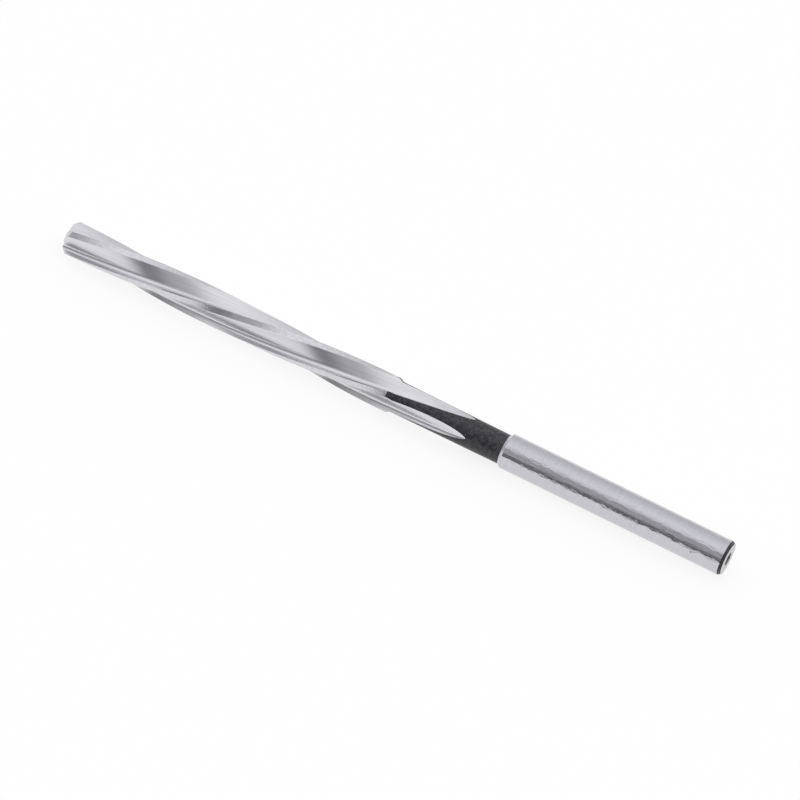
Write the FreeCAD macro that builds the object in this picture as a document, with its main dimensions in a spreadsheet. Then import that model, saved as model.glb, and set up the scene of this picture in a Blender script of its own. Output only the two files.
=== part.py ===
"""Straight-shank machine reamer with four left-hand helical flutes, right-hand cutting.

The tool is one piece of steel.  It is built the way it is made: a turned blank, a centre
hole in each end, and then the flutes and the clearance behind each cutting edge, ground
with the work turning to the left as it travels.  Millimetres and degrees.

Frame: the tool lies along X with the cutting end towards -X.  The origin is on the surface
it lies on, below the middle of its length, so the axis is half a cutting diameter up.
"""
import FreeCAD, Part
import math
import os
import Sketcher

Vector = FreeCAD.Vector

SIZES = (
    ("overall_length", 70.0, "end face to end face"),
    ("cutting_length", 34.6, "tip to the back corner of the lands"),
    ("shank_length", 23.55, "front of the shank chamfer to the end face"),
    ("cutting_diameter", 3.5, "over the circular margins"),
    ("neck_front_diameter", 3.08, "neck where it leaves the cutting part"),
    ("neck_back_diameter", 2.95, "neck where it meets the shank"),
    ("shank_diameter", 3.48, "ground straight shank"),
    ("lead_length", 0.5, "axial length of the bevel lead at the tip"),
    ("lead_angle", 45.0, "bevel lead, measured from the axis"),
    ("back_bevel_length", 0.46, "axial length of the bevel from the lands to the neck"),
    ("shank_front_chamfer", 0.32, "axial length, neck to shank"),
    ("shank_end_chamfer", 0.3, "axial length at the end face"),
    ("shank_end_chamfer_depth", 0.18, "radial depth at the end face"),
    ("shank_centre_mouth", 1.37, "mouth of the centre hole in the shank"),
    ("shank_centre_pilot", 0.6, "pilot drill of that centre hole"),
    ("shank_centre_depth", 1.3, "depth of that pilot"),
    ("tip_centre_mouth", 0.8, "mouth of the centre hole in the tip"),
    ("tip_centre_pilot", 0.35, "pilot drill of that centre hole"),
    ("tip_centre_depth", 0.75, "depth of that pilot"),
    ("centre_angle", 60.0, "included angle of both centre holes"),
    ("flute_count", 4, "teeth, equally spaced"),
    ("flute_lead", 75.0, "length of one full turn of a flute"),
    ("tip_clock_angle", 25.4, "first cutting edge at the tip, from +Y towards +Z"),
    ("rake_angle", 8.0, "hook of the cutting face"),
    ("face_depth", 0.64, "straight depth of the cutting face"),
    ("root_radius", 0.23, "radius at the bottom of a flute"),
    ("back_radius", 5.3, "crown of the back wall of a flute"),
    ("flute_angle", 70.0, "flute width on the cutting circle"),
    ("wheel_radius", 43.0, "grinding wheel that leaves the flute run-out"),
    ("runout_length", 8.05, "run-out from the lands to where it leaves the neck"),
    ("runout_margin", 1.2, "how far the cut is carried on past that place"),
    ("infeed_angle", 55.0, "way the wheel lifts, from the cutting edge's radius"),
    ("margin_angle", 3.5, "circular margin behind each cutting edge"),
    ("relief_angle", 19.5, "clearance behind the margin"),
    ("relief_reach", 0.85, "how far the clearance cut reaches back"),
    ("relief_stop", 0.75, "unrelieved end of a land, ahead of the back bevel"),
    ("relief_ramp", 0.5, "length in which the clearance cut runs out"),
    ("relief_lift", 0.15, "height it rises in that length, more than its depth"),
    ("cutter_clearance", 0.6, "how far each cut stands outside the blank"),
)
HELIX_STATIONS = 14
RUNOUT_STATIONS = 7

document = FreeCAD.newDocument("MachineReamer")
sheet = document.addObject("Spreadsheet::Sheet", "Sizes")
for row, (alias, size, meaning) in enumerate(SIZES, start=1):
    sheet.set(f"A{row}", meaning)
    sheet.set(f"B{row}", str(size))
    sheet.setAlias(f"B{row}", alias)
document.recompute()

# Places along the axis and across it, as expressions on the sheet.
CUTTING_RADIUS = "Sizes.cutting_diameter / 2"
TIP = "-Sizes.overall_length / 2"
END = "Sizes.overall_length / 2"
BACK_CORNER = f"{TIP} + Sizes.cutting_length"
NECK_START = f"{BACK_CORNER} + Sizes.back_bevel_length"
SHANK_START = f"{END} - Sizes.shank_length"
OUTSIDE = f"({CUTTING_RADIUS} + Sizes.cutter_clearance)"
LEAD_RADIUS = f"{CUTTING_RADIUS} - Sizes.lead_length * tan(Sizes.lead_angle)"

body = document.addObject("PartDesign::Body", "reamer")
body.Label = "reamer"
body.setExpression("Placement.Base.z", CUTTING_RADIUS)
planes = {plane.Role: plane for plane in body.Origin.OriginFeatures}
axis = planes["X_Axis"]


def value(expression):
    """Number that an expression on the sheet comes to."""
    return float(sheet.evalExpression(expression))


def new_sketch(name, plane):
    sketch = body.newObject("Sketcher::SketchObject", name)
    sketch.AttachmentSupport = [(planes[plane], "")]
    sketch.MapMode = "FlatFace"
    return sketch


def fix(sketch, kind, geometry, point, expression):
    """Dimension one end of a line from the sketch origin and bind it to the sheet."""
    size = value(expression)
    if abs(size) < 1e-9:
        axis = -2 if kind == "DistanceX" else -1
        sketch.addConstraint(Sketcher.Constraint("PointOnObject", geometry, point, axis))
        return
    number = sketch.addConstraint(Sketcher.Constraint(kind, -1, 1, geometry, point, size))
    sketch.setExpression(f"Constraints[{number}]", expression)


def outline(sketch, corners):
    """Closed run of straight lines through corners given as pairs of expressions."""
    points = [Vector(value(across), value(up), 0) for across, up in corners]
    for start, end in zip(points, points[1:] + points[:1]):
        sketch.addGeometry(Part.LineSegment(start, end), False)
    for line in range(len(points)):
        follower = (line + 1) % len(points)
        sketch.addConstraint(Sketcher.Constraint("Coincident", line, 2, follower, 1))
    for line, (across, up) in enumerate(corners):
        fix(sketch, "DistanceX", line, 1, across)
        fix(sketch, "DistanceY", line, 1, up)
    document.recompute()


def turned(kind, name, corners):
    """Revolution or Groove of an outline about the tool axis."""
    sketch = new_sketch(f"{name}Outline", "XZ_Plane")
    outline(sketch, corners)
    feature = body.newObject(f"PartDesign::{kind}", name)
    feature.Profile = sketch
    feature.ReferenceAxis = (sketch, ["H_Axis"])
    feature.Angle = 360
    document.recompute()
    return feature


# Turned blank: cutting part, tapered neck and shank, with every bevel.
turned("Revolution", "Blank", (
    (TIP, "0"),
    (TIP, LEAD_RADIUS),
    (f"{TIP} + Sizes.lead_length", CUTTING_RADIUS),
    (BACK_CORNER, CUTTING_RADIUS),
    (NECK_START, "Sizes.neck_front_diameter / 2"),
    (SHANK_START, "Sizes.neck_back_diameter / 2"),
    (f"{SHANK_START} + Sizes.shank_front_chamfer", "Sizes.shank_diameter / 2"),
    (f"{END} - Sizes.shank_end_chamfer", "Sizes.shank_diameter / 2"),
    (END, "Sizes.shank_diameter / 2 - Sizes.shank_end_chamfer_depth"),
    (END, "0"),
))


def centre_hole(name, face, inward, mouth, pilot, depth):
    """Centre-drilled hole: a cone at the mouth and a pilot drilled on with the same point."""
    slope = "tan(Sizes.centre_angle / 2)"
    cone = f"({mouth} - {pilot}) / 2 / {slope}"
    point = f"{pilot} / 2 / {slope}"
    return turned("Groove", name, (
        (face, "0"),
        (face, f"{mouth} / 2"),
        (f"{face} {inward} {cone}", f"{pilot} / 2"),
        (f"{face} {inward} {depth}", f"{pilot} / 2"),
        (f"{face} {inward} ({depth} + {point})", "0"),
    ))


centre_hole("ShankCentre", END, "-", "Sizes.shank_centre_mouth",
            "Sizes.shank_centre_pilot", "Sizes.shank_centre_depth")
centre_hole("TipCentre", TIP, "+", "Sizes.tip_centre_mouth",
            "Sizes.tip_centre_pilot", "Sizes.tip_centre_depth")


def place_across(sketch, station, lift="0", lift_angle="0"):
    """Stand a cross-section at a station on the axis, turned with the left-hand helix.

    In the sketch +X points at the cutting edge, so the flute lies on its -Y side and the
    land on its +Y side.  A lift moves the section outwards, along an angle from that edge.
    """
    clock = f"(Sizes.tip_clock_angle - 360 * ({station} - ({TIP})) / Sizes.flute_lead)"
    sketch.AttachmentOffset = FreeCAD.Placement(Vector(), Vector(0, 0, 1), 1)
    sketch.setExpression("AttachmentOffset.Base.x", f"({lift}) * cos({clock} - {lift_angle})")
    sketch.setExpression("AttachmentOffset.Base.y", f"({lift}) * sin({clock} - {lift_angle})")
    sketch.setExpression("AttachmentOffset.Base.z", station)
    sketch.setExpression("AttachmentOffset.Rotation.Angle", clock)


def flute_section(name, station, lift="0"):
    """Cross-section of the flute: hooked cutting face, root radius and crowned back wall."""
    sketch = new_sketch(name, "YZ_Plane")
    place_across(sketch, station, lift, "Sizes.infeed_angle")
    edge, outside = value(CUTTING_RADIUS), value(OUTSIDE)
    root, crown = value("Sizes.root_radius"), value("Sizes.back_radius")
    rake, turn = (math.radians(value(f"Sizes.{name}_angle")) for name in ("rake", "flute"))
    # The root circle touches the straight face at its foot.  The back wall's circle goes
    # through the heel and touches the root circle from the other side.
    foot_x, foot_y = f"{CUTTING_RADIUS} - Sizes.face_depth", "Sizes.face_depth * tan(Sizes.rake_angle)"
    foot = Vector(value(foot_x), value(foot_y), 0)
    root_centre = foot - Vector(math.sin(rake), math.cos(rake), 0) * root
    heel = Vector(math.cos(turn), -math.sin(turn), 0) * edge
    span = (root_centre - heel).Length
    towards = (root_centre - heel) / span
    along = (span**2 - root**2 - 2 * root * crown) / (2 * span)
    aside = math.sqrt(crown**2 - along**2)
    crown_centre = heel + towards * along + Vector(-towards.y, towards.x, 0) * aside
    touch = root_centre + (crown_centre - root_centre).normalize() * root
    rim_x = crown_centre.x + math.sqrt(crown**2 - (outside + crown_centre.y)**2)
    rim, corner = Vector(rim_x, -outside, 0), Vector(outside, -outside, 0)
    mouth = Vector(outside, -math.tan(rake) * (outside - edge), 0)

    def arc(centre, radius, start, end):
        first, last = (math.atan2(spot.y - centre.y, spot.x - centre.x) for spot in (start, end))
        return Part.ArcOfCircle(Part.Circle(centre, Vector(0, 0, 1), radius), first, last)

    face = sketch.addGeometry(Part.LineSegment(mouth, foot), False)
    bottom = sketch.addGeometry(arc(root_centre, root, foot, touch), False)
    back = sketch.addGeometry(arc(crown_centre, crown, rim, touch), False)
    side = sketch.addGeometry(Part.LineSegment(rim, corner), False)
    front = sketch.addGeometry(Part.LineSegment(corner, mouth), False)
    heel_point = sketch.addGeometry(Part.Point(heel), True)
    for first, first_end, second, second_end in (
            (back, 1, side, 1), (side, 2, front, 1), (front, 2, face, 1)):
        sketch.addConstraint(
            Sketcher.Constraint("Coincident", first, first_end, second, second_end))
    sketch.addConstraint(Sketcher.Constraint("Tangent", face, 2, bottom, 1))
    sketch.addConstraint(Sketcher.Constraint("Tangent", bottom, 2, back, 2))
    sketch.addConstraint(Sketcher.Constraint("Horizontal", side))
    sketch.addConstraint(Sketcher.Constraint("Vertical", front))
    sketch.addConstraint(Sketcher.Constraint("PointOnObject", heel_point, 1, back))
    for curve, radius in ((bottom, "root"), (back, "back")):
        size = value(f"Sizes.{radius}_radius")
        number = sketch.addConstraint(Sketcher.Constraint("Radius", curve, size))
        sketch.setExpression(f"Constraints[{number}]", f"Sizes.{radius}_radius")
    fix(sketch, "DistanceX", face, 2, foot_x)
    fix(sketch, "DistanceY", face, 2, foot_y)
    fix(sketch, "DistanceX", side, 2, OUTSIDE)
    fix(sketch, "DistanceY", side, 2, f"-{OUTSIDE}")
    fix(sketch, "DistanceY", face, 1, "-Sizes.cutter_clearance * tan(Sizes.rake_angle)")
    fix(sketch, "DistanceX", heel_point, 1, f"{CUTTING_RADIUS} * cos(Sizes.flute_angle)")
    fix(sketch, "DistanceY", heel_point, 1, f"-{CUTTING_RADIUS} * sin(Sizes.flute_angle)")
    document.recompute()
    return sketch


def relief_section(name, station, lift="0"):
    """Cross-section of the flat clearance cut that starts behind the circular margin."""
    sketch = new_sketch(name, "YZ_Plane")
    place_across(sketch, station, lift)
    margin_x, margin_y = (f"{CUTTING_RADIUS} * {part}(Sizes.margin_angle)" for part in ("cos", "sin"))
    slope = "(Sizes.margin_angle + Sizes.relief_angle)"
    reach_x = f"{margin_x} - Sizes.relief_reach * sin{slope}"
    reach_y = f"{margin_y} + Sizes.relief_reach * cos{slope}"
    outline(sketch, (
        (margin_x, margin_y),
        (reach_x, reach_y),
        (OUTSIDE, reach_y),
        (OUTSIDE, margin_y),
    ))
    return sketch


GRIND_START = f"({TIP} - Sizes.cutter_clearance)"


def repeat(cut):
    """Repeat a cut for every tooth round the tool axis."""
    pattern = body.newObject("PartDesign::PolarPattern", f"{cut.Name}Pattern")
    pattern.Originals = [cut]
    pattern.Axis = (axis, [""])
    pattern.Angle = 360
    pattern.Refine = False
    pattern.setExpression("Occurrences", "Sizes.flute_count")
    body.Tip = pattern
    document.recompute()


def lofted_cut(name, sections, ruled):
    cut = body.newObject("PartDesign::SubtractiveLoft", name)
    cut.Profile, cut.Sections = sections[0], sections[1:]
    cut.Ruled = ruled
    cut.Refine = False
    document.recompute()
    repeat(cut)


def helix_stations(stop):
    """Evenly spaced places from ahead of the tip to a stop."""
    return [f"{GRIND_START} + ({stop} - {GRIND_START}) * {number} / {HELIX_STATIONS}"
            for number in range(HELIX_STATIONS + 1)]


# Flutes: full depth to the back corner of the lands, then the wheel lifts out on its radius.
flute_sections = [flute_section(f"FluteSection{number}", station)
                  for number, station in enumerate(helix_stations(BACK_CORNER))]
for number in range(1, RUNOUT_STATIONS + 1):
    travel = f"(Sizes.runout_length + Sizes.runout_margin) * {number} / {RUNOUT_STATIONS}"
    flute_sections.append(flute_section(
        f"RunoutSection{number}", f"{BACK_CORNER} + {travel}",
        f"({travel})^2 / 2 / Sizes.wheel_radius"))
lofted_cut("Flute", flute_sections, False)

# Clearance behind the margins, which stops short of the back bevel and ramps out.
RELIEF_END = f"({BACK_CORNER} - Sizes.relief_stop)"
lofted_cut("Relief", [relief_section(f"ReliefSection{number}", station)
                      for number, station in enumerate(helix_stations(RELIEF_END))], False)
lofted_cut("ReliefRamp", [
    relief_section("RampStart", RELIEF_END),
    relief_section("RampEnd", f"{RELIEF_END} + Sizes.relief_ramp", "Sizes.relief_lift"),
], True)

failed = [item.Name for item in document.Objects if {"Invalid", "Error"} & set(item.State)]
if failed or body.Shape.isNull() or not body.Shape.isValid():
    raise SystemExit(f"failed features: {failed}")
os.makedirs("parts", exist_ok=True)
body.Shape.exportStep(f"parts/{body.Label}.step")
print(f"{body.Label}: {len(body.Shape.Solids)} solid, {body.Shape.Volume:.3f} mm3")
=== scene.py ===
"""Straight-shank machine reamer with four left-hand helical flutes, lying on a pale floor."""
import math

import bpy
import numpy as np
from mathutils import Matrix, Vector
from mathutils.geometry import tessellate_polygon


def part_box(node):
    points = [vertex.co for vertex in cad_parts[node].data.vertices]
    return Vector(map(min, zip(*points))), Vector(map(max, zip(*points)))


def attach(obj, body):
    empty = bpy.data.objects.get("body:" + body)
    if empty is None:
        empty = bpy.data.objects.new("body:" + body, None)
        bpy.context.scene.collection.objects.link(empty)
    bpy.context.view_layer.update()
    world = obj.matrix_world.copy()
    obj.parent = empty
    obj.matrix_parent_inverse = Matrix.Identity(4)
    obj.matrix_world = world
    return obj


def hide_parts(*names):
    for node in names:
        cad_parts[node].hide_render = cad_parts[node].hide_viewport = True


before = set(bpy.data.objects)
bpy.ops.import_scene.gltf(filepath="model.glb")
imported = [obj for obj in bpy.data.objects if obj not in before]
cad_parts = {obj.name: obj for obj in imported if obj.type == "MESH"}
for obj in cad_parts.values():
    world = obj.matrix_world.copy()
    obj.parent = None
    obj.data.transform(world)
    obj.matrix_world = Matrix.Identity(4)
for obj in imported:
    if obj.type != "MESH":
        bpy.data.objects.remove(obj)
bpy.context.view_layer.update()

# ---------------------------------------------------------------------------------------
# Blank.  One bar of steel, turned between centres: a bevelled cutting part, a
# neck that tapers a little towards the shank, and the straight shank.  Millimetres.
MM = 0.001
low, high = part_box("reamer")
TIP, END = low.x / MM, high.x / MM
AXIS = Vector((0, 0, (low.z + high.z) / 2))
CUTTING_RADIUS = (high.z - low.z) / 2 / MM
CUTTING_LENGTH = 34.6
LEAD_BEVEL = 0.5
BACK_BEVEL = 0.46
SHANK_LENGTH = 23.55
SHANK_FRONT_BEVEL = 0.32
SHANK_CHAMFER_LENGTH, SHANK_CHAMFER_DEPTH = 0.3, 0.18
NECK_FRONT_RADIUS, NECK_BACK_RADIUS = 1.54, 1.475
SHANK_RADIUS = 1.74
LEAD_END = TIP + LEAD_BEVEL
BACK_CORNER = TIP + CUTTING_LENGTH
NECK_START = BACK_CORNER + BACK_BEVEL
SHANK_START = END - SHANK_LENGTH
SHANK_FULL = SHANK_START + SHANK_FRONT_BEVEL
SHANK_CHAMFER = END - SHANK_CHAMFER_LENGTH
END_FACE_RADIUS = SHANK_RADIUS - SHANK_CHAMFER_DEPTH
BLANK = (
    (TIP, CUTTING_RADIUS - LEAD_BEVEL), (LEAD_END, CUTTING_RADIUS),
    (BACK_CORNER, CUTTING_RADIUS),
    (NECK_START, NECK_FRONT_RADIUS), (SHANK_START, NECK_BACK_RADIUS),
    (SHANK_FULL, SHANK_RADIUS), (SHANK_CHAMFER, SHANK_RADIUS), (END, END_FACE_RADIUS),
)


def blank_radius(x):
    """Radius of the turned blank at a place along the tool."""
    places, radii = zip(*BLANK)
    return float(np.interp(x, places, radii))


# ---------------------------------------------------------------------------------------
# Flutes.  Four helical gashes ground with a formed wheel: a hooked cutting face, a round
# root and a wide crowned back wall.  Past the lands the wheel lifts out through the neck.
TEETH = 4
LEAD = 75.0
TIP_CLOCK = 25.4  # degrees from +Y towards +Z to the first cutting edge at the tip
RAKE = math.radians(8)
FACE_DEPTH = 0.36
ROOT_RADIUS = 0.4
CROWN_RADIUS = 10.0
FLUTE_ANGLE = math.radians(70)
WHEEL_RADIUS = 65.0
INFEED = math.radians(-28)
MARGIN_DEGREES, RELIEF_DEGREES = 3.5, 19.5
MARGIN = math.radians(MARGIN_DEGREES)
CLEARANCE = math.radians(MARGIN_DEGREES + RELIEF_DEGREES)
CLEARANCE_SHORT, CLEARANCE_RAMP, CLEARANCE_LIFT = 0.75, 0.5, 0.15
CLEARANCE_STOP = BACK_CORNER - CLEARANCE_SHORT
CLEARANCE_END = CLEARANCE_STOP + CLEARANCE_RAMP
BACK_POINTS, ROOT_POINTS, FACE_POINTS = 240, 80, 120
OUTSIDE = 0.6  # how far a section is drawn beyond the blank
ROOT_WEIGHT = 0.4  # how much a turn counts as length, so that the root gets more points
WALL_SPACING = 0.062
LAND_SPACING = 0.06


def clock(x):
    """Angle of the first cutting edge at a place along the tool, from +Y towards +Z."""
    return math.radians(TIP_CLOCK) - 2 * math.pi * (min(x, SHANK_START) - TIP) / LEAD


def arc(centre, radius, start, end, count):
    """Evenly spaced points of an arc."""
    angles = np.linspace(start, end, count)
    return centre + radius * np.stack([np.cos(angles), np.sin(angles)], 1)


def flute_wall():
    """Section of one flute, from outside the heel to outside the cutting edge at +X."""
    foot = np.array([CUTTING_RADIUS - FACE_DEPTH, FACE_DEPTH * math.tan(RAKE)])
    root = foot - ROOT_RADIUS * np.array([math.sin(RAKE), math.cos(RAKE)])
    heel = CUTTING_RADIUS * np.array([math.cos(FLUTE_ANGLE), -math.sin(FLUTE_ANGLE)])
    span = np.linalg.norm(root - heel)
    towards = (root - heel) / span
    along = (span**2 - ROOT_RADIUS**2 - 2 * ROOT_RADIUS * CROWN_RADIUS) / (2 * span)
    aside = math.sqrt(CROWN_RADIUS**2 - along**2)
    crown = heel + towards * along + np.array([-towards[1], towards[0]]) * aside
    touch = root - crown
    touch_angle = math.atan2(touch[1], touch[0])
    outside = math.asin((-CUTTING_RADIUS - OUTSIDE - crown[1]) / CROWN_RADIUS)
    back = arc(crown, CROWN_RADIUS, outside, touch_angle, BACK_POINTS)
    bottom = arc(root, ROOT_RADIUS, math.pi + touch_angle, math.pi / 2 - RAKE, ROOT_POINTS)
    mouth = foot + np.array([1, -math.tan(RAKE)]) * (FACE_DEPTH + OUTSIDE)
    face = np.linspace(foot, mouth, FACE_POINTS)
    return np.concatenate([back, bottom[1:], face[1:]])


WALL = flute_wall()
MARGIN_END = CUTTING_RADIUS * np.array([math.cos(MARGIN), math.sin(MARGIN)])
CLEARANCE_OUT = np.array([math.cos(CLEARANCE), math.sin(CLEARANCE)])


def turned_about(points, angle):
    """Points of a section turned about the axis of the tool."""
    c, s = math.cos(angle), math.sin(angle)
    return points @ np.array([[c, s], [-s, c]])


def lifted_wall(x):
    """The flute's section at a place along the tool, moved out where the wheel lifts."""
    lift = max(x - BACK_CORNER, 0.0)**2 / 2 / WHEEL_RADIUS
    return WALL + lift * np.array([math.cos(INFEED), math.sin(INFEED)])


def clearance_offset(x):
    """How far out the clearance flat lies from where the margin ends; None past its end."""
    if x > CLEARANCE_END - 1e-6:
        return None
    lift = CLEARANCE_LIFT * max(x - CLEARANCE_STOP, 0.0) / (CLEARANCE_END - CLEARANCE_STOP)
    return float(MARGIN_END @ CLEARANCE_OUT) + lift * CLEARANCE_OUT[0]


def travel(points):
    """Length travelled along a polyline at each of its points, with turns counted in."""
    steps = np.diff(points, axis=0)
    heading = np.unwrap(np.arctan2(steps[:, 1], steps[:, 0]))
    turn = np.abs(np.diff(heading, prepend=heading[0]))
    return np.concatenate([[0], np.cumsum(np.linalg.norm(steps, axis=1) + ROOT_WEIGHT * turn)])


def respaced(points):
    """A polyline again with even points, closer together where it turns."""
    gone = travel(points)
    count = max(3, 1 + round(gone[-1] / WALL_SPACING))
    wanted = np.linspace(0, gone[-1], count)
    return np.stack([np.interp(wanted, gone, points[:, k]) for k in (0, 1)], 1)


def cut_wall(x):
    """The part of the flute's wall that lies inside the blank, or None where there is none."""
    wall = lifted_wall(x)
    depth = blank_radius(x) - np.linalg.norm(wall, axis=1)
    offset = clearance_offset(x)
    if offset is not None:
        out = turned_about(CLEARANCE_OUT[None], -math.pi / 2)[0]
        depth = np.minimum(depth, offset - wall @ out)
    inside = np.flatnonzero(depth > 0)
    if len(inside) < 2:
        return None

    def crossing(kept, lost):
        share = depth[kept] / (depth[kept] - depth[lost])
        return wall[kept] + (wall[lost] - wall[kept]) * share

    first, last = inside[0], inside[-1]
    return np.concatenate([[crossing(first, first - 1)], wall[first:last + 1],
                           [crossing(last, last + 1)]])


def deepest(x):
    """How deep the flute cuts into the blank at most, and where in its section."""
    wall = lifted_wall(x)
    radii = np.linalg.norm(wall, axis=1)
    return blank_radius(x) - radii.min(), wall[radii.argmin()]


def runout_end():
    """Where the lifting wheel leaves the neck, and the angle there from the cutting edge."""
    near, far = NECK_START, SHANK_START
    for _ in range(50):
        middle = (near + far) / 2
        near, far = (middle, far) if deepest(middle)[0] > 0 else (near, middle)
    place = deepest(near)[1]
    return near, math.atan2(place[1], place[0])


NOSE, NOSE_ANGLE = runout_end()


def round_part(start, stop, radius):
    """Points on the blank's circle from one angle to another."""
    count = max(2, 1 + round((stop - start) * radius / LAND_SPACING))
    return arc(np.zeros(2), radius, start, stop, count)


def tooth_strips(x):
    """Wall, margin and clearance flat of one tooth, each running on from the last."""
    radius = blank_radius(x)
    wall = cut_wall(x) if x < NOSE - 1e-4 else None
    if wall is None:
        nose = radius * np.array([math.cos(NOSE_ANGLE), math.sin(NOSE_ANGLE)])
        after = turned_about(nose[None], math.pi / 2)
        return [nose[None], round_part(NOSE_ANGLE, NOSE_ANGLE + math.pi / 2, radius), after]
    wall = respaced(wall)
    edge, heel = wall[-1], turned_about(wall[:1], math.pi / 2)[0]
    start, stop = math.atan2(edge[1], edge[0]), math.atan2(heel[1], heel[0])
    offset = clearance_offset(x)
    if offset is not None and np.linalg.norm(heel) < radius - 1e-5:
        across = CLEARANCE + math.acos(min(1.0, offset / radius))
        margin = 2 * CLEARANCE - across
        flat_start = radius * np.array([math.cos(margin), math.sin(margin)])
        if margin > start + 1e-4:
            count = max(2, 1 + round(np.linalg.norm(heel - flat_start) / LAND_SPACING))
            return [wall, round_part(start, margin, radius),
                    np.linspace(flat_start, heel, count)]
    return [wall, round_part(start, stop, radius), heel[None]]


# ---------------------------------------------------------------------------------------
# Skin of the tool.  Rows of points round the tool from the bottom of the centre hole in the
# tip to the bottom of the one in the shank, laced together strip by strip.
CENTRE_SLOPE = math.tan(math.radians(30))
FINISHES = ("ground_flute", "ground_land", "black_steel", "ground_shank", "faced_end",
            "centre_hole")


def stations(*stops, spacing):
    """Places from the first stop to the last, evenly spaced between each two."""
    places = [stops[0]]
    for a, b in zip(stops, stops[1:]):
        places += list(np.linspace(a, b, max(2, 1 + math.ceil((b - a) / spacing)))[1:])
    return places


def fluted_row(x):
    """Every strip of a row, tooth by tooth, turned to the helix."""
    strips = []
    for tooth in range(TEETH):
        for strip in tooth_strips(x):
            strips.append(turned_about(strip, clock(x) + tooth * math.pi / 2))
    return x, strips


class Skin:
    """Points, faces and the part each face belongs to, as they are laced together."""

    def __init__(self):
        self.points, self.faces, self.parts = [], [], []

    def row(self, x, strips):
        """Add a row's points; strips share their end points, and the last meets the first."""
        first, rows, last = len(self.points), [], None
        for strip in strips:
            numbers = []
            for k, (y, z) in enumerate(strip):
                if k == 0 and last is not None:
                    numbers.append(last)
                    continue
                self.points.append((x, y, z))
                numbers.append(len(self.points) - 1)
            rows.append(numbers)
            last = numbers[-1]
        if last != first:
            for numbers in rows:
                numbers[:] = [first if n == last else n for n in numbers]
            self.points.pop()
        return rows

    def lace(self, one, other, part):
        """Faces between two polylines, in fours where they have as many points."""
        a, b = len(one) - 1, len(other) - 1
        i = j = 0
        while i < a or j < b:
            if a == b:
                face = (one[i], one[i + 1], other[i + 1], other[i])
                i, j = i + 1, j + 1
            elif j == b or (i < a and (i + 0.5) / a <= (j + 0.5) / b):
                face = (one[i], one[i + 1], other[j])
                i += 1
            else:
                face = (one[i], other[j + 1], other[j])
                j += 1
            if len(set(face)) > 2:
                self.faces.append(face)
                self.parts.append(part)


skin = Skin()
# The finish of each part of the skin.  Only the two parts of the land run smoothly on from
# each other; every other part ends at a sharp edge.
FINISH = {
    "tip_hole": "centre_hole", "tip_pilot": "centre_hole", "tip_cone": "centre_hole",
    "tip_face": "ground_land", "flute": "ground_flute", "lead": "ground_land",
    "margin": "ground_land", "clearance": "ground_land", "back_land": "black_steel",
    "back_bevel": "black_steel", "neck": "black_steel", "shank_front": "ground_shank",
    "shank": "ground_shank", "shank_end": "black_steel", "end_face": "faced_end",
    "shank_cone": "centre_hole", "shank_pilot": "centre_hole", "shank_hole": "centre_hole",
}
LAND = ("margin", "back_land")
FLUTED = ("lead", "margin", "back_land", "back_bevel", "neck")
PLAIN_POINTS = 30


def plain_row(x, radius, at):
    """A round row with the strips of the row at a place past the flutes."""
    strips = []
    for tooth in range(TEETH):
        angle = clock(at) + NOSE_ANGLE + tooth * math.pi / 2
        turn = arc(np.zeros(2), radius, angle, angle + math.pi / 2, PLAIN_POINTS)
        strips += [turn[:1], turn, turn[-1:]] if radius else [np.zeros((1, 2))] * 3
    return skin.row(x, strips)


def laced(before, after, part):
    """Lace one row to the next, strip by strip, and give back the second."""
    for number, (one, other) in enumerate(zip(before, after)):
        where = ("flute", part, "clearance")[number % 3] if part in FLUTED else part
        skin.lace(one, other, where)
    return after


# Centre hole of the tip, fluted length, neck and shank, centre hole of the shank.
pilot, mouth, depth = 0.175, 0.4, 0.75
row = plain_row(TIP + depth + pilot / CENTRE_SLOPE, 0, TIP)
row = laced(row, plain_row(TIP + depth, pilot, TIP), "tip_hole")
row = laced(row, plain_row(TIP + (mouth - pilot) / CENTRE_SLOPE, pilot, TIP), "tip_pilot")
row = laced(row, plain_row(TIP, mouth, TIP), "tip_cone")
tip_ring = [n for strip in row for n in strip[:-1]]
row = skin.row(*fluted_row(TIP))
tip_outline = [n for strip in row for n in strip[:-1]]
RUNOUT_ROWS = 84  # closer together towards the nose of the run-out
runout = [NOSE - s * s for s in np.linspace(math.sqrt(NOSE - NECK_START), 0, RUNOUT_ROWS)]
for part, places in (
    ("lead", stations(TIP, LEAD_END, spacing=0.1)),
    ("margin", stations(LEAD_END, CLEARANCE_STOP, CLEARANCE_END, spacing=0.25)),
    ("back_land", stations(CLEARANCE_END, BACK_CORNER, spacing=0.1)),
    ("back_bevel", stations(BACK_CORNER, NECK_START, spacing=0.1)),
    ("neck", runout + stations(NOSE, SHANK_START, spacing=0.3)[1:]),
    ("shank_front", stations(SHANK_START, SHANK_FULL, spacing=0.16)),
    ("shank", stations(SHANK_FULL, SHANK_CHAMFER, spacing=1.0)),
    ("shank_end", stations(SHANK_CHAMFER, END, spacing=0.15)),
):
    for x in places[1:]:
        row = laced(row, skin.row(*fluted_row(x)), part)
pilot, mouth, depth = 0.3, 0.685, 1.3
row = laced(row, plain_row(END, mouth, END), "end_face")
row = laced(row, plain_row(END - (mouth - pilot) / CENTRE_SLOPE, pilot, END), "shank_cone")
row = laced(row, plain_row(END - depth, pilot, END), "shank_pilot")
laced(row, plain_row(END - depth - pilot / CENTRE_SLOPE, 0, END), "shank_hole")

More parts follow.
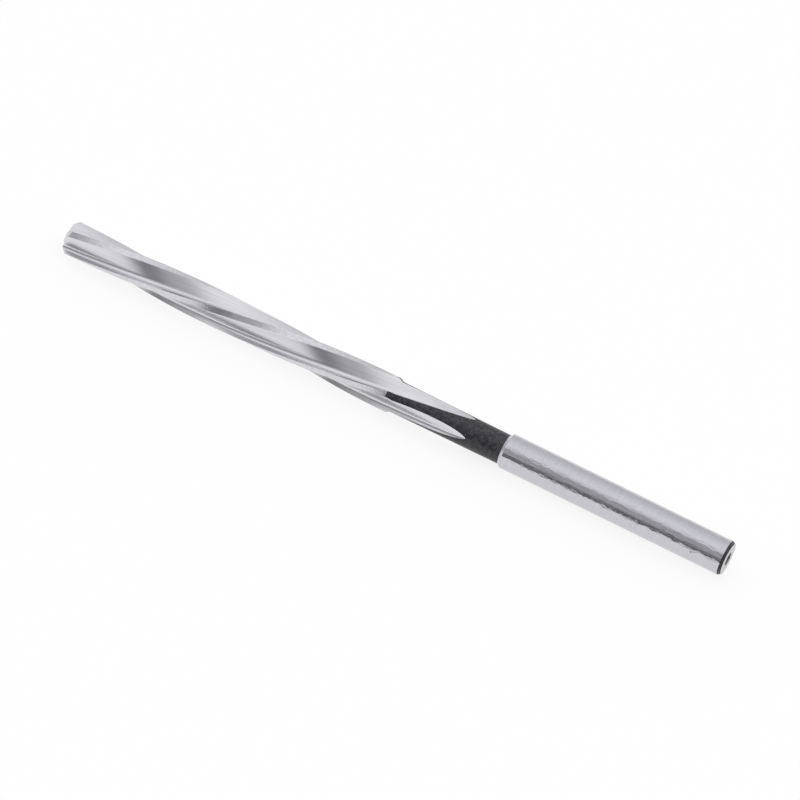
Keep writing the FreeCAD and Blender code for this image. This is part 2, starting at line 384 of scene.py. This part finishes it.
# The face of the tip: what the flutes leave of it, round the centre hole.
loops = [[Vector((skin.points[n][1], skin.points[n][2], 0)) for n in loop]
         for loop in (tip_outline, tip_ring)]
numbers = tip_outline + tip_ring
for triangle in tessellate_polygon(loops):
    a, b, c = (Vector(skin.points[numbers[k]]) for k in triangle)
    flip = (b - a).cross(c - a).x > 0
    corners = [numbers[k] for k in triangle]
    skin.faces.append(corners[::-1] if flip else corners)
    skin.parts.append("tip_face")

mesh = bpy.data.meshes.new("reamer_steel")
axis = np.array(AXIS)
mesh.from_pydata([tuple(np.array(p) * MM + axis) for p in skin.points], [], skin.faces)
smooth_with = ["land" if part in LAND else part for part in skin.parts]
meeting = {}
for face in mesh.polygons:
    face.use_smooth = True
    face.material_index = FINISHES.index(FINISH[skin.parts[face.index]])
    for key in face.edge_keys:
        meeting.setdefault(key, set()).add(smooth_with[face.index])
for edge in mesh.edges:
    edge.use_edge_sharp = len(meeting[edge.key]) > 1
reamer = bpy.data.objects.new("reamer_steel", mesh)
bpy.context.scene.collection.objects.link(reamer)
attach(reamer, "root")
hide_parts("reamer")


# ---------------------------------------------------------------------------------------
# Cutting marks, shared by all the finishes.  They follow the way each surface was cut:
# along the helix in the flutes, round the tool on the neck and shank.
def add(tree, kind, links=(), **settings):
    """A node with its settings; links gives inputs by name, as sockets or plain values."""
    made = tree.nodes.new(kind)
    for name, setting in settings.items():
        setattr(made, name, setting)
    for name, source in dict(links).items():
        if isinstance(source, bpy.types.NodeSocket):
            tree.links.new(source, made.inputs[name])
        else:
            made.inputs[name].default_value = source
    return made


def new_group(name, inputs, outputs):
    """An empty node group with its sockets; inputs are name, kind and value."""
    tree = bpy.data.node_groups.new(name, "ShaderNodeTree")
    for socket, kind, setting in inputs:
        made = tree.interface.new_socket(socket, in_out="INPUT", socket_type=kind)
        made.default_value = setting
    for socket, kind in outputs:
        tree.interface.new_socket(socket, in_out="OUTPUT", socket_type=kind)
    given = tree.nodes.new("NodeGroupInput").outputs
    return tree, given, tree.nodes.new("NodeGroupOutput").inputs


# Place on the tool in millimetres from its axis, unwound by a twist so that marks follow it.
place_tree, given, result = new_group(
    "tool_place", [("Twist", "NodeSocketFloat", 0.0)], [("Place", "NodeSocketVector")])
position = add(place_tree, "ShaderNodeTexCoord").outputs["Object"]
centred = add(place_tree, "ShaderNodeVectorMath", {0: position, 1: AXIS}, operation="SUBTRACT")
scaled = add(place_tree, "ShaderNodeVectorMath", {0: centred.outputs[0], 3: 1 / MM},
             operation="SCALE")
apart = add(place_tree, "ShaderNodeSeparateXYZ", {0: scaled.outputs[0]})
angle = add(place_tree, "ShaderNodeMath", {0: apart.outputs[0], 1: given["Twist"]},
            operation="MULTIPLY")
unwound = add(place_tree, "ShaderNodeVectorRotate",
              {"Vector": scaled.outputs[0], "Angle": angle.outputs[0]}, rotation_type="X_AXIS")
place_tree.links.new(unwound.outputs[0], result["Place"])

# Grinding or turning marks: noise stretched along or across the tool, in marks per mm.
marks_tree, given, result = new_group(
    "marks", [("Place", "NodeSocketVector", (0, 0, 0)), ("Along", "NodeSocketFloat", 1.0),
              ("Across", "NodeSocketFloat", 1.0), ("Detail", "NodeSocketFloat", 2.0)],
    [("Value", "NodeSocketFloat")])
stretch = add(marks_tree, "ShaderNodeCombineXYZ",
              {0: given["Along"], 1: given["Across"], 2: given["Across"]})
spread = add(marks_tree, "ShaderNodeVectorMath", {0: given["Place"], 1: stretch.outputs[0]},
             operation="MULTIPLY")
noise = add(marks_tree, "ShaderNodeTexNoise",
            {"Vector": spread.outputs[0], "Scale": 1.0, "Detail": given["Detail"]})
marks_tree.links.new(noise.outputs[0], result["Value"])


def steel(name, metallic, roughness, twist=0.0):
    """A new finish on the tool: its tree, its Principled shader and the place on the tool."""
    material = bpy.data.materials.new(name)
    material.use_nodes = True
    mesh.materials.append(material)
    tree = material.node_tree
    shader = tree.nodes["Principled BSDF"]
    shader.inputs["Metallic"].default_value = metallic
    shader.inputs["Roughness"].default_value = roughness
    return tree, shader, grouped(tree, place_tree, Twist=twist)


def grouped(tree, of, **inputs):
    return add(tree, "ShaderNodeGroup", inputs, node_tree=of).outputs[0]


def ranged(tree, source, low, high):
    """A value stretched so that low becomes 0 and high becomes 1."""
    span = {"Value": source, "From Min": low, "From Max": high}
    return add(tree, "ShaderNodeMapRange", span).outputs[0]


def worked(tree, kind, one, other):
    """Two values added, multiplied or compared."""
    return add(tree, "ShaderNodeMath", {0: one, 1: other}, operation=kind).outputs[0]


def mixed(tree, factor, dark, light):
    made = add(tree, "ShaderNodeMix", {"Factor": factor, 6: dark, 7: light}, data_type="RGBA")
    return made.outputs[2]


def marked(tree, marks, dark, light):
    """Colour that goes from dark to light with the marks."""
    return mixed(tree, ranged(tree, marks, 0.3, 0.7), (*dark, 1), (*light, 1))


def coloured(tree, shader, colour):
    tree.links.new(colour, shader.inputs["Base Color"])


def bumped(tree, shader, height, distance):
    bump = {"Height": height, "Distance": distance, "Strength": 1.0}
    tree.links.new(add(tree, "ShaderNodeBump", bump).outputs[0], shader.inputs["Normal"])


# ---------------------------------------------------------------------------------------
# Ground flutes.  Bright steel with long streaks that run along the helix, as the wheel
# left them.
HELIX_TWIST = 2 * math.pi / LEAD
tree, shader, place = steel("ground_flute", metallic=1.0, roughness=0.31, twist=HELIX_TWIST)
streaks = grouped(tree, marks_tree, Place=place, Along=0.12, Across=9.0, Detail=3.0)
coloured(tree, shader, marked(tree, streaks, (0.66, 0.655, 0.69), (0.80, 0.795, 0.83)))
bumped(tree, shader, streaks, 4e-6)

# ---------------------------------------------------------------------------------------
# Ground lands.  A little darker than the flutes, with finer marks and a slanting hatch
# across them.
HATCH = {"Scale": 2.1, "Distortion": 1.5, "Detail": 1.0}
tree, shader, place = steel("ground_land", metallic=1.0, roughness=0.3, twist=HELIX_TWIST)
streaks = grouped(tree, marks_tree, Place=place, Along=3.0, Across=6.0, Detail=3.0)
coloured(tree, shader, marked(tree, streaks, (0.62, 0.615, 0.65), (0.76, 0.755, 0.79)))
hatch = add(tree, "ShaderNodeTexWave", {"Vector": place, **HATCH}, bands_direction="DIAGONAL")
bumped(tree, shader, worked(tree, "ADD", streaks, hatch.outputs[1]), 4e-6)

# ---------------------------------------------------------------------------------------
# Blackened steel of the neck, the back bevel and the chamfer.  Turning rings broken up
# into rows of specks, bumped, and painted lighter in colour as a painted sheen.
RINGS = {"Scale": 1.6, "Distortion": 0.8, "Detail": 1.0}
tree, shader, place = steel("black_steel", metallic=0.0, roughness=0.42)
rings = add(tree, "ShaderNodeTexWave", {"Vector": place, **RINGS}, bands_direction="X")
breaks = grouped(tree, marks_tree, Place=place, Along=3.0, Across=3.5, Detail=2.0)
specks_and_sheen = worked(tree, "MULTIPLY", rings.outputs[1], ranged(tree, breaks, 0.42, 0.62))
# The specks' lighter colour is painted sheen where the turning rings catch the light; the
# rings themselves are real and bumped.
coloured(tree, shader, mixed(tree, specks_and_sheen, (0.022, 0.020, 0.026, 1), (0.10, 0.096, 0.11, 1)))
bumped(tree, shader, specks_and_sheen, 1.5e-5)

# ---------------------------------------------------------------------------------------
# Ground shank.  Fine scratches round it, faint waves along it, and one small pit near
# its end.
PIT_FROM_END = 3.2
PIT_RISE = math.radians(14.5)
PIT_EDGE, PIT_FLOOR = 0.11, 0.05
SCRATCH_SHARE = 0.1
PIT = (END - PIT_FROM_END, -SHANK_RADIUS * math.cos(PIT_RISE),
       SHANK_RADIUS * math.sin(PIT_RISE))
tree, shader, place = steel("ground_shank", metallic=1.0, roughness=0.15)
scratches = grouped(tree, marks_tree, Place=place, Along=14.0, Across=0.9, Detail=3.0)
waves = grouped(tree, marks_tree, Place=place, Along=1.4, Across=4.5, Detail=2.0)
bright = marked(tree, scratches, (0.56, 0.555, 0.595), (0.61, 0.605, 0.65))
away = add(tree, "ShaderNodeVectorMath", {0: place, 1: PIT}, operation="DISTANCE")
in_pit = ranged(tree, away.outputs["Value"], PIT_EDGE, PIT_FLOOR)
coloured(tree, shader, mixed(tree, in_pit, bright, (0.08, 0.08, 0.085, 1)))
light_scratches = worked(tree, "MULTIPLY", scratches, SCRATCH_SHARE)
bumped(tree, shader, worked(tree, "ADD", light_scratches, waves), 3.2e-5)

# ---------------------------------------------------------------------------------------
# Faced end of the shank.  Duller than the ground surfaces, with an even grain.
tree, shader, place = steel("faced_end", metallic=1.0, roughness=0.3)
grain = grouped(tree, marks_tree, Place=place, Along=5.0, Across=5.0, Detail=3.0)
coloured(tree, shader, marked(tree, grain, (0.48, 0.475, 0.5), (0.6, 0.6, 0.62)))
bumped(tree, shader, grain, 6e-6)

# ---------------------------------------------------------------------------------------
# Centre holes.  Dark drilled steel.
tree, shader, place = steel("centre_hole", metallic=0.6, roughness=0.35)
grain = grouped(tree, marks_tree, Place=place, Along=6.0, Across=3.0, Detail=2.0)
coloured(tree, shader, marked(tree, grain, (0.1, 0.1, 0.11), (0.2, 0.2, 0.21)))
bumped(tree, shader, grain, 6e-6)

# ---------------------------------------------------------------------------------------
# Floor.  A pale sheet that the tool lies on, bright enough to read as white, with just
# enough plain paper in it to keep the shadow.
FLOOR_SIZE = 3.0
PLAIN_TONE, FAINT_TONE, GLOW = 0.8, 0.2, 0.84
bpy.ops.mesh.primitive_plane_add(size=FLOOR_SIZE, location=(0, 0, low.z))
floor = bpy.context.object
floor.name = "floor"
paper = bpy.data.materials.new("white_floor")
paper.use_nodes = True
tree = paper.node_tree
tree.nodes.clear()
seen = add(tree, "ShaderNodeLightPath")
shown = worked(tree, "MAXIMUM", seen.outputs["Is Camera Ray"], seen.outputs["Is Glossy Ray"])
shown = worked(tree, "MAXIMUM", shown, seen.outputs["Is Transmission Ray"])
plain = add(tree, "ShaderNodeBsdfDiffuse", {"Color": (PLAIN_TONE,) * 3 + (1,)})
faint = add(tree, "ShaderNodeBsdfDiffuse", {"Color": (FAINT_TONE,) * 3 + (1,)})
glow = add(tree, "ShaderNodeEmission", {"Color": (1, 1, 1, 1), "Strength": GLOW})
lit = add(tree, "ShaderNodeAddShader", {0: faint.outputs[0], 1: glow.outputs[0]})
both = add(tree, "ShaderNodeMixShader", {0: shown, 1: plain.outputs[0], 2: lit.outputs[0]})
add(tree, "ShaderNodeOutputMaterial", {"Surface": both.outputs[0]})
floor.data.materials.append(paper)

# ---------------------------------------------------------------------------------------
# Soft tent of light.  White overhead, paler behind, dim at the front where it is open.
# Brightness by degrees round the tool: 0 is the front horizon, 90 straight up.
TENT = (
    (-180, 0.72), (-90, 0.86), (-12, 0.86), (0, 0.2), (10, 0.15), (20, 0.22), (30, 0.44),
    (38, 0.55), (46, 0.40), (54, 0.5), (61, 0.7), (68, 0.88), (82, 1.0), (97, 0.98),
    (115, 0.9), (135, 0.8), (160, 0.72), (180, 0.72),
)
COLD = 1.02
world = bpy.data.worlds.new("light_tent")
bpy.context.scene.world = world
world.use_nodes = True
tree = world.node_tree
looking = add(tree, "ShaderNodeTexCoord").outputs["Generated"]
way = add(tree, "ShaderNodeSeparateXYZ", {0: looking})
front = worked(tree, "MULTIPLY", way.outputs[1], -1.0)
rise = worked(tree, "ARCTAN2", way.outputs[2], front)
tent = add(tree, "ShaderNodeValToRGB", {0: ranged(tree, rise, -math.pi, math.pi)})
ramp = tent.color_ramp
while len(ramp.elements) < len(TENT):
    ramp.elements.new(0.5)
for element, (degrees, level) in zip(ramp.elements, TENT):
    element.position = (degrees + 180) / 360
    element.color = (level, level, level * COLD, 1)
tree.links.new(tent.outputs[0], tree.nodes["Background"].inputs["Color"])

# ---------------------------------------------------------------------------------------
# Camera: a long lens above the near side, a little towards the shank, turned so that the
# tool runs down to the right.
RISE, SWING, ROLL = math.radians(46.5), math.radians(11), math.radians(26.11)
LENS, SENSOR = 541, 36
DISTANCE = 1.125
AIM_ALONG, AIM_DOWN = 0.00045, 0.00014
across = Vector((0, -math.cos(RISE), math.sin(RISE)))
to_camera = across * math.cos(SWING) + Vector((1, 0, 0)) * math.sin(SWING)
upward = Vector((0, math.sin(RISE), math.cos(RISE)))
along = upward.cross(to_camera)
aim = AXIS + Vector((AIM_ALONG, 0, 0)) - upward * AIM_DOWN
right = along * math.cos(ROLL) + upward * math.sin(ROLL)
up = upward * math.cos(ROLL) - along * math.sin(ROLL)
lens = bpy.data.cameras.new("long_lens")
lens.lens, lens.sensor_width = LENS, SENSOR
lens.clip_start, lens.clip_end = 0.01, 10
camera = bpy.data.objects.new("camera", lens)
bpy.context.scene.collection.objects.link(camera)
turn = Matrix((right, up, to_camera)).transposed().to_4x4()
camera.matrix_world = Matrix.Translation(aim + to_camera * DISTANCE) @ turn
bpy.context.scene.camera = camera
bpy.context.scene.view_settings.view_transform = "Standard"
